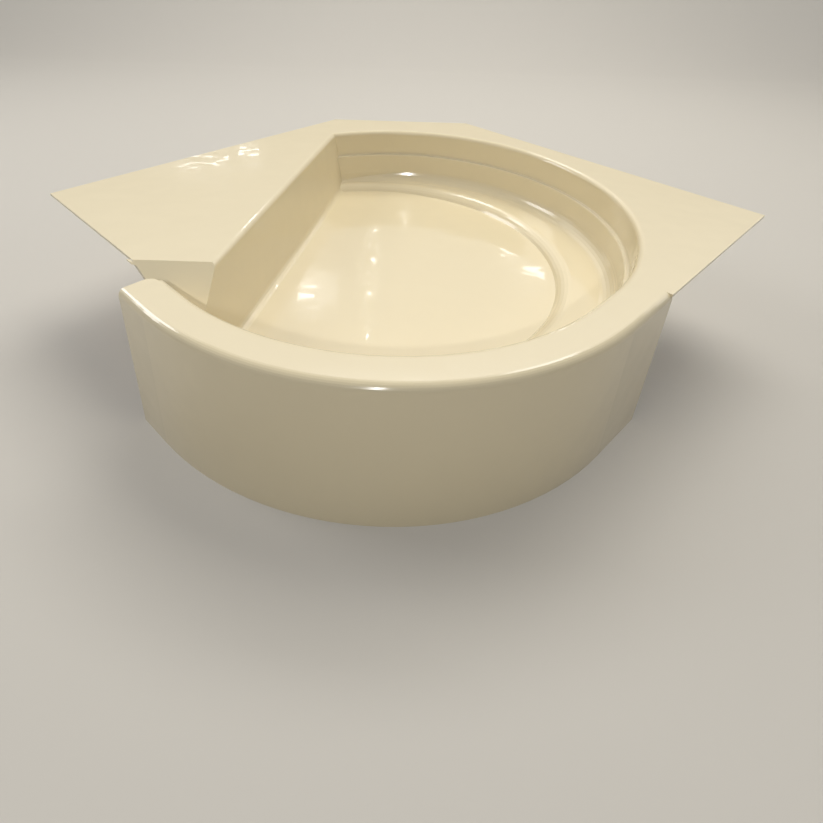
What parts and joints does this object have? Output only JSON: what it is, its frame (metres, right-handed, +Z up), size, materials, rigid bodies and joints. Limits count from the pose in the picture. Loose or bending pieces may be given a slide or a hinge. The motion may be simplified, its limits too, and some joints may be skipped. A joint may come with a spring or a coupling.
{
  "type": "corner shower tray",
  "caption": "Corner shower tray: thin walled shell with a stepped round bowl, side shelf, bowed front apron, timber stiffeners, adjustable feet and a low bottle trap.",
  "frame": {"origin": "under the middle of the tray's outline, on the surface it stands on", "axes": "+Z up, +Y towards the corner of the walls, +X to the right as seen from the bowed front"},
  "size_m": [1.1314, 0.8594, 0.215],
  "materials": {
    "ivory_shell": "high gloss ivory",
    "plywood": "raw birch plywood",
    "timber": "sawn softwood",
    "galvanised_steel": "galvanised",
    "zinc_steel": "zinc plated",
    "pad_plastic": "moulded",
    "stainless": "satin stainless",
    "seal_rubber": "smooth",
    "waste_plastic": "moulded white"
  },
  "bodies": {
    "tray": {"tray_shell": "ivory_shell", "pan_board": "plywood", "shelf_board": "plywood", "left_batten": "timber", "right_batten": "timber", "back_batten": "timber", "apron_batten": "timber", "back_rail": "galvanised_steel", "middle_rail": "galvanised_steel", "front_rail": "galvanised_steel", "rail_screws": "zinc_steel", "adjusting_nuts": "zinc_steel", "waste_body": "waste_plastic", "waste_gasket": "seal_rubber", "waste_washer": "seal_rubber", "waste_backnut": "waste_plastic", "trap_seal": "seal_rubber", "trap_nut": "waste_plastic", "trap_cup": "waste_plastic", "cleanout_seal": "seal_rubber", "cleanout_cap": "waste_plastic", "outlet_seal": "seal_rubber", "outlet_nut": "waste_plastic", "outlet_tail": "waste_plastic"},
    "foot_back_left": {"stud_back_left": "zinc_steel", "pad_back_left": "pad_plastic"},
    "foot_back_right": {"stud_back_right": "zinc_steel", "pad_back_right": "pad_plastic"},
    "foot_centre": {"stud_centre": "zinc_steel", "pad_centre": "pad_plastic"},
    "foot_front_left": {"stud_front_left": "zinc_steel", "pad_front_left": "pad_plastic"},
    "foot_front_right": {"stud_front_right": "zinc_steel", "pad_front_right": "pad_plastic"},
    "strainer": {"strainer": "stainless"}
  },
  "joints": [
    {"name": "foot_back_left_screw", "type": "slide", "parent": "tray", "child": "foot_back_left", "axis": [0, 0, -1], "range_m": [-0.008, 0.008]},
    {"name": "foot_back_right_screw", "type": "slide", "parent": "tray", "child": "foot_back_right", "axis": [0, 0, -1], "range_m": [-0.008, 0.008]},
    {"name": "foot_centre_screw", "type": "slide", "parent": "tray", "child": "foot_centre", "axis": [0, 0, -1], "range_m": [-0.008, 0.008]},
    {"name": "foot_front_left_screw", "type": "slide", "parent": "tray", "child": "foot_front_left", "axis": [0, 0, -1], "range_m": [-0.008, 0.008]},
    {"name": "foot_front_right_screw", "type": "slide", "parent": "tray", "child": "foot_front_right", "axis": [0, 0, -1], "range_m": [-0.008, 0.008]},
    {"name": "strainer_lift", "type": "slide", "parent": "tray", "child": "strainer", "axis": [0, 0, 1], "range_m": [0, 0.03]}
  ]
}
